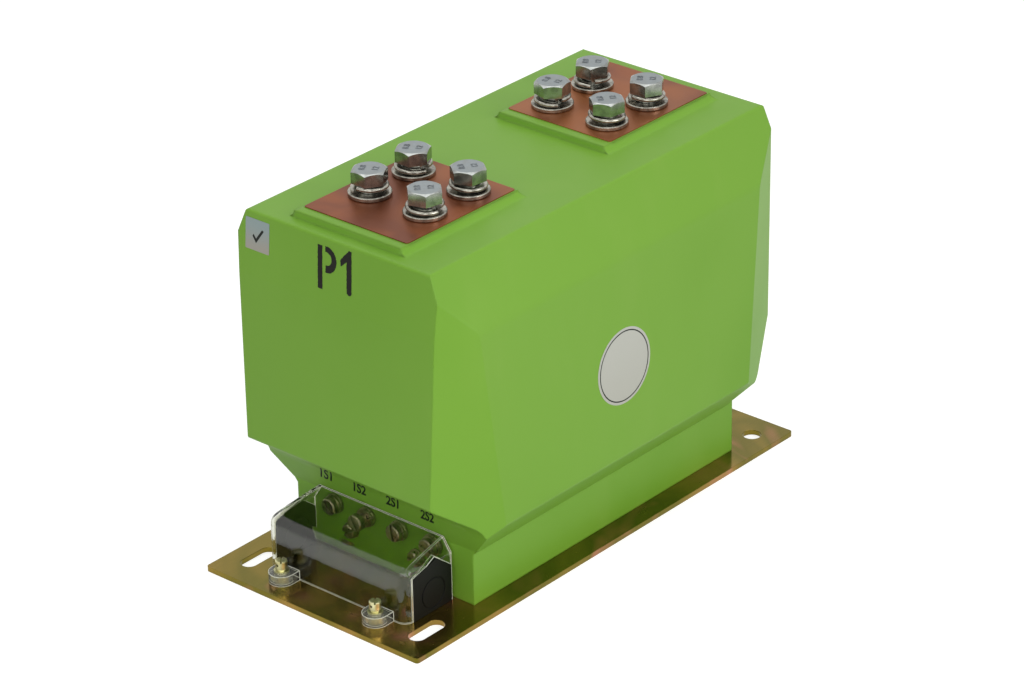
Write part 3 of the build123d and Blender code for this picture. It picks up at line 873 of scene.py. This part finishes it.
def laid_mark(name, work, face, origin, lift, thickness, material):
    """A flat mesh in u and v becomes a thin piece on the resin, with its faces outwards."""
    band_cuts(work)
    bmesh.ops.triangulate(work, faces=work.faces[:])
    for vertex in work.verts:
        flat = origin + face["right"] * vertex.co.x + face["up"] * vertex.co.y
        vertex.co = lay_on_resin(flat, face["inwards"], lift)
    bmesh.ops.recalc_face_normals(work, faces=work.faces[:])
    if sum(polygon.normal.dot(face["inwards"]) for polygon in work.faces) > 0:
        bmesh.ops.reverse_faces(work, faces=work.faces[:])
    bmesh.ops.solidify(work, geom=work.faces[:], thickness=-thickness)
    if work.calc_volume(signed=True) < 0:
        bmesh.ops.reverse_faces(work, faces=work.faces[:])
    mesh = bpy.data.meshes.new(name)
    work.to_mesh(mesh)
    work.free()
    mesh.materials.append(material)
    piece = put_in_scene(name, mesh)
    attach(piece, "root")
    print(name, "has", len(mesh.polygons), "faces")


def filled(outlines):
    """Flat faces inside closed outlines of (u, v) points."""
    work = bmesh.new()
    for outline in outlines:
        corners = [work.verts.new((u, v, 0.0)) for u, v in outline]
        work.faces.new(corners)
    return work


print("a mark can bend every", BAND / MM, "mm")

# %% [markdown]
# Three kinds of finish serve the marks: stencil paint, which is thin and turns greenish where
# it is worn; black print; and the films of the two stickers.

# %% Mark finishes


def stencil_paint():
    paint = Finish("stencil_paint")
    worn = paint.noise(scale=700.0, detail=4.0, roughness=0.7)
    colour = paint.blend(paint.step(worn, 0.64, 0.80), linear(18, 17, 10), linear(40, 50, 20))
    shader = paint.surface(
        Base_Color=colour,
        Roughness=0.7 + worn * 0.1,
        Specular_IOR_Level=0.25,
        Normal=paint.bump(worn, distance=0.03 * MM),
    )
    return paint.close(shader)


def print_ink():
    ink = Finish("print_ink")
    cloud = ink.noise(scale=700.0)
    colour = ink.blend(cloud, linear(5, 10, 4), linear(12, 20, 8))
    shader = ink.surface(Base_Color=colour, Roughness=0.55 + cloud * 0.1, Specular_IOR_Level=0.25)
    return ink.close(shader)


def film_finish(name, low_colour, high_colour, low, high, roughness, metallic):
    """A film sticker whose colour changes slowly from a low level to a high one: a painted gradient of
    light over its height.
    """
    film = Finish(name)
    fibre = film.noise(scale=1500.0, detail=3.0)
    cloud = film.noise(scale=60.0, detail=2.0)
    level = film.step(film.along("Z") + cloud * 4.0 * MM, low, high)
    colour = film.blend(level, low_colour, high_colour)
    normal = film.bump(fibre, distance=0.015 * MM, strength=0.4)
    shader = film.surface(
        Base_Color=colour, Roughness=roughness + fibre * 0.06, Metallic=metallic, Normal=normal
    )
    return film.close(shader)


stencil_black = stencil_paint()
ink_black = print_ink()
# The silver film is warmer low down and bluer high up, as a painted reflection.
silver_film = film_finish(
    "silver_film",
    low_colour=linear(152, 147, 136),
    high_colour=linear(136, 151, 150),
    low=0.192,
    high=0.210,
    roughness=0.34,
    metallic=0.45,
)
# The white film is a little lighter high up, as painted light.
white_film = film_finish(
    "white_film",
    low_colour=linear(182, 182, 171),
    high_colour=linear(188, 189, 179),
    low=0.090,
    high=0.134,
    roughness=0.38,
    metallic=0.0,
)
mark_finishes = (stencil_black, ink_black, silver_film, white_film)
print("mark finishes:", [finish.name for finish in mark_finishes])

# %% [markdown]
# The primary terminal's mark is sprayed through a stencil, so its P is in two pieces: a
# stroke, and a bowl that a bridge of the stencil keeps apart from it. Sprayed paint creeps
# under a stencil, so the outlines get a small fixed unevenness.

# %% Stencilled P1
STENCIL_PLACE = Vector((0.0, 12.3 * MM, 183.7 * MM))
STENCIL_LEAN = 0.03
STEM = (3.3 * MM, 24.6 * MM)
BOWL_OUTER = {"centre": (6.4 * MM, 17.5 * MM), "radii": (7.1 * MM, 7.5 * MM), "start": -97, "end": 97}
BOWL_INNER = {"centre": (6.0 * MM, 17.9 * MM), "radii": (4.0 * MM, 3.8 * MM), "start": 98, "end": -94}
ONE_LEFT = 20.7 * MM
ONE_RIGHT = 24.2 * MM
ONE_FOOT = 1.7 * MM
ONE_TOP = 26.9 * MM
FLAG_TIP = 16.2 * MM
FLAG_LOW = 16.6 * MM
FLAG_HIGH = 20.2 * MM
PAINT_STEP = 0.7 * MM
PAINT_CREEP = 0.13 * MM


def ellipse_arc(centre, radii, start, end, steps=18):
    points = []
    for index in range(steps + 1):
        angle = math.radians(start + (end - start) * index / steps)
        points.append((centre[0] + radii[0] * math.cos(angle), centre[1] + radii[1] * math.sin(angle)))
    return points


def uneven(outline, seed):
    """The outline in short steps, each moved a little at random."""
    chance = random.Random(seed)
    points = []
    for start, end in zip(outline, outline[1:] + outline[:1]):
        length = math.dist(start, end)
        steps = max(1, round(length / PAINT_STEP))
        for index in range(steps):
            share = index / steps
            u = start[0] + (end[0] - start[0]) * share + chance.uniform(-1, 1) * PAINT_CREEP
            v = start[1] + (end[1] - start[1]) * share + chance.uniform(-1, 1) * PAINT_CREEP
            points.append((u - STENCIL_LEAN * v, v))
    return points


def stencil_outlines():
    stem = [(0.0, 0.0), (STEM[0], 0.0), STEM, (0.0, STEM[1])]
    bowl = ellipse_arc(**BOWL_OUTER) + ellipse_arc(**BOWL_INNER)
    half = (ONE_RIGHT - ONE_LEFT) / 2
    one = ellipse_arc((ONE_LEFT + half, ONE_FOOT + half), (half, half), 180, 360, 8) + [
        (ONE_RIGHT, ONE_TOP),
        (ONE_LEFT + half, ONE_TOP),
        (FLAG_TIP, FLAG_HIGH),
        (FLAG_TIP + half / 4, FLAG_LOW),
        (ONE_LEFT, FLAG_HIGH),
    ]
    return [uneven(outline, seed) for seed, outline in enumerate((stem, bowl, one))]


laid_mark(
    "p1_stencil",
    filled(stencil_outlines()),
    P1_FACE,
    STENCIL_PLACE,
    lift=PAINT_LIFT,
    thickness=PAINT_THICKNESS,
    material=stencil_black,
)

# %% [markdown]
# Letters start as a text object, which Blender fills with flat faces. The terminals' letters
# are narrow and bold, so the text gets a heavier outline, and its mesh is then fitted to a
# width and a height. A lean shears it, as in slanted writing.

# %% Flat letters
LETTER_WELD = 1e-5


def lettering(text, width, height, boldness, lean):
    """Flat letters, centred on the origin, fitted to a width and a height, leaning right."""
    curve = bpy.data.curves.new(text, "FONT")
    curve.body = text
    curve.size = 1.0
    curve.offset = boldness
    holder = put_in_scene(text, curve)
    mesh = settled_mesh(holder)
    bpy.data.objects.remove(holder)
    bpy.data.curves.remove(curve)
    work = bmesh.new()
    work.from_mesh(mesh)
    bpy.data.meshes.remove(mesh)
    bmesh.ops.remove_doubles(work, verts=work.verts[:], dist=LETTER_WELD)
    low = Vector([min(vertex.co[axis] for vertex in work.verts) for axis in range(2)])
    high = Vector([max(vertex.co[axis] for vertex in work.verts) for axis in range(2)])
    for vertex in work.verts:
        u = (vertex.co.x - (low.x + high.x) / 2) * width / (high.x - low.x)
        v = (vertex.co.y - (low.y + high.y) / 2) * height / (high.y - low.y)
        vertex.co = (u + lean * v, v, 0.0)
    return work


print("letters' corners are merged within", LETTER_WELD, "of the text's size")

# %% [markdown]
# Each secondary terminal has its letters on the hollow above it: 1S1 and 1S2 for the first
# core, 2S1 and 2S2 for the second. They are the usual signs for such terminals. The wall of
# the hollow slopes, so the letters are sheared to stand upright in the camera's view of it.

# %% Secondary terminal letters
LETTER_HEIGHT = 8.6 * MM
LETTER_BOLDNESS = 0.026
LETTER_LEAN = 0.42
LETTERS = {
    "1S1": {"across": 37.4, "level": 51.1, "width": 8.5},
    "1S2": {"across": 12.4, "level": 50.6, "width": 9.1},
    "2S1": {"across": -11.8, "level": 51.0, "width": 9.1},
    "2S2": {"across": -37.4, "level": 51.2, "width": 9.6},
}

for text, facts in LETTERS.items():
    laid_mark(
        "letters_" + text.lower(),
        lettering(text, facts["width"] * MM, LETTER_HEIGHT, LETTER_BOLDNESS, LETTER_LEAN),
        P1_FACE,
        Vector((0.0, facts["across"] * MM, facts["level"] * MM)),
        lift=PAINT_LIFT,
        thickness=PAINT_THICKNESS,
        material=ink_black,
    )

# %% [markdown]
# A round sticker sits on the long side, white with a thin dark ring and otherwise plain. A
# small silver sticker sits at the corner of the end face, with a tick as a plain sign that
# the part was tested.

# %% Stickers
ROUND_PLACE = Vector((3.8 * MM, 0.0, 112.1 * MM))
ROUND_RADIUS = 22.4 * MM
RING_RADIUS = 20.9 * MM
RING_WIDTH = 0.7 * MM
SQUARE_PLACE = Vector((0.0, 65.5 * MM, 191.3 * MM))
SQUARE_SIZE = (17.4 * MM, 18.0 * MM)
SQUARE_CORNER = 0.6 * MM
TICK_PLACE = (5.2 * MM, 4.4 * MM)
TICK_ARMS = ((0.0, 3.6 * MM), (2.6 * MM, 0.0), (8.2 * MM, 8.0 * MM))
TICK_STROKE = 1.3 * MM
FILM = 0.12 * MM
FILM_LIFT = 0.02 * MM
INK_THICKNESS = 0.03 * MM
ROUND_STEPS = 96


def circle(radius):
    return ellipse_arc((0.0, 0.0), (radius, radius), 0, 360, ROUND_STEPS)[:-1]


def ring_work(outer, inner):
    """A flat ring between two circles."""
    work = bmesh.new()
    outside, inside = (
        [work.verts.new((u, v, 0.0)) for u, v in circle(radius)] for radius in (outer, inner)
    )
    for index in range(ROUND_STEPS):
        after = (index + 1) % ROUND_STEPS
        work.faces.new((outside[index], outside[after], inside[after], inside[index]))
    return work


def rounded_sheet(width, height, corner):
    points = []
    for u, v, start in (
        (width - corner, corner, -90),
        (width - corner, height - corner, 0),
        (corner, height - corner, 90),
        (corner, corner, 180),
    ):
        points += ellipse_arc((u, v), (corner, corner), start, start + 90, 5)
    return points


def tick_outline():
    """Two strokes that meet in a point, as one outline."""
    start, knee, end = [(TICK_PLACE[0] + u, TICK_PLACE[1] + v) for u, v in TICK_ARMS]
    return [
        knee,
        end,
        (end[0] - TICK_STROKE, end[1] + TICK_STROKE / 2),
        (knee[0], knee[1] + 2 * TICK_STROKE),
        (start[0] + TICK_STROKE / 2, start[1] + TICK_STROKE),
        start,
    ]


laid_mark(
    "round_sticker",
    filled([circle(ROUND_RADIUS)]),
    LONG_FACE,
    ROUND_PLACE,
    lift=FILM_LIFT,
    thickness=FILM,
    material=white_film,
)
laid_mark(
    "round_sticker_ring",
    ring_work(RING_RADIUS, RING_RADIUS - RING_WIDTH),
    LONG_FACE,
    ROUND_PLACE,
    lift=FILM_LIFT + FILM,
    thickness=INK_THICKNESS,
    material=ink_black,
)
laid_mark(
    "silver_sticker",
    filled([rounded_sheet(*SQUARE_SIZE, SQUARE_CORNER)]),
    P1_FACE,
    SQUARE_PLACE,
    lift=FILM_LIFT,
    thickness=FILM,
    material=silver_film,
)
laid_mark(
    "silver_sticker_tick",
    filled([tick_outline()]),
    P1_FACE,
    SQUARE_PLACE,
    lift=FILM_LIFT + FILM,
    thickness=INK_THICKNESS,
    material=ink_black,
)

# %% [markdown]
# The floor is pale and takes the object's shadow. To the camera it adds a light of its own,
# so that it runs out to white as in the photograph, and the same light shows in metal and
# through the clear cover. The world is white there too, and greyer where it is a light.

# %% Floor and world
FLOOR_SIZE = 8.0
FLOOR_COLOUR = (0.52, 0.52, 0.51)
FLOOR_GLOW = 0.75
WHITE = (1.0, 1.0, 1.0)
WORLD_LIGHT = 0.42


def seen_directly(finish):
    """1 for what the camera sees itself, in a reflection or through the cover."""
    seen = finish.node("LightPath", output="Is Camera Ray")
    for kind in ("Is Glossy Ray", "Is Transmission Ray"):
        seen = seen.math("MAXIMUM", seen, finish.node("LightPath", output=kind))
    return seen


def floor_finish():
    floor = Finish("pale_floor")
    diffuse = floor.node("BsdfDiffuse", {}, {"Color": FLOOR_COLOUR})
    strength = seen_directly(floor) * FLOOR_GLOW
    glow = floor.node("Emission", {}, {"Color": WHITE, "Strength": strength})
    return floor.close(floor.node("AddShader", {}, {0: diffuse, 1: glow}))


def make_floor():
    work = bmesh.new()
    bmesh.ops.create_grid(work, x_segments=1, y_segments=1, size=FLOOR_SIZE / 2)
    mesh = bpy.data.meshes.new("floor")
    work.to_mesh(mesh)
    work.free()
    mesh.materials.append(floor_finish())
    floor = put_in_scene("floor", mesh)


def make_world():
    world = bpy.data.worlds.new("studio")
    sky = Finish("studio", world)
    strength = seen_directly(sky) * (1.0 - WORLD_LIGHT) + WORLD_LIGHT
    light = sky.node("Background", {}, {"Color": WHITE, "Strength": strength})
    sky.node("OutputWorld", {}, {"Surface": light})
    bpy.context.scene.world = world


make_floor()
make_world()
print("world light", WORLD_LIGHT)

# %% [markdown]
# Four soft lamps: a wide one above, a key from the camera's right that lights the long side,
# a weak one near the object that makes the end face fade from right to left, and a weak one
# from the left.

# %% Lamps
LAMPS = {
    "lamp_above": {"place": (0.2, 0.3, 1.5), "size": 1.3, "power": 6.7},
    "lamp_right": {"place": (0.2, -1.75, 0.7), "size": 1.1, "power": 12.0},
    "lamp_front": {"place": (-0.55, -0.55, 0.35), "size": 0.5, "power": 1.2},
    "lamp_left": {"place": (-1.6, -0.2, 0.8), "size": 1.1, "power": 4.4},
}


def add_lamp(name, place, size, power):
    data = bpy.data.lights.new(name, "AREA")
    data.shape = "DISK"
    data.size = size
    data.energy = power
    lamp = put_in_scene(name, data)
    lamp.visible_camera = False
    towards = CAMERA_TARGET - Vector(place)
    turn = towards.to_track_quat("-Z", "Y").to_matrix().to_4x4()
    lamp.matrix_world = Matrix.Translation(place) @ turn


for name, facts in LAMPS.items():
    add_lamp(name, **facts)
print("lamps:", list(LAMPS))

bpy.context.scene.view_settings.view_transform = "Standard"
